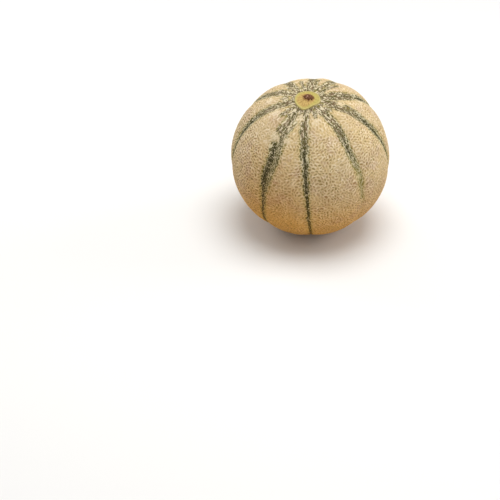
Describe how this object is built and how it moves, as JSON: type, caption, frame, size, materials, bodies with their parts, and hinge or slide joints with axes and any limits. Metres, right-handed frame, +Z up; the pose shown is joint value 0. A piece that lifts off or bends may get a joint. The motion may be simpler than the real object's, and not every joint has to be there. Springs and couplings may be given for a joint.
{
  "type": "cantaloupe melon",
  "caption": "Whole round netted cantaloupe melon with green-furrowed ribs, a corky net and a round stem scar, resting on a small flat spot.",
  "frame": {"origin": "middle of the flat spot that the melon rests on, straight below the melon's centre", "axes": "+Z up; the stem end leans from upright towards -Y; +X completes a right-handed frame"},
  "size_m": [0.151, 0.1514, 0.1454],
  "materials": {
    "rind": "matt corky net over a green-brown rind, green in the sutures"
  },
  "bodies": {
    "root": {"melon": "rind"}
  },
  "joints": []
}
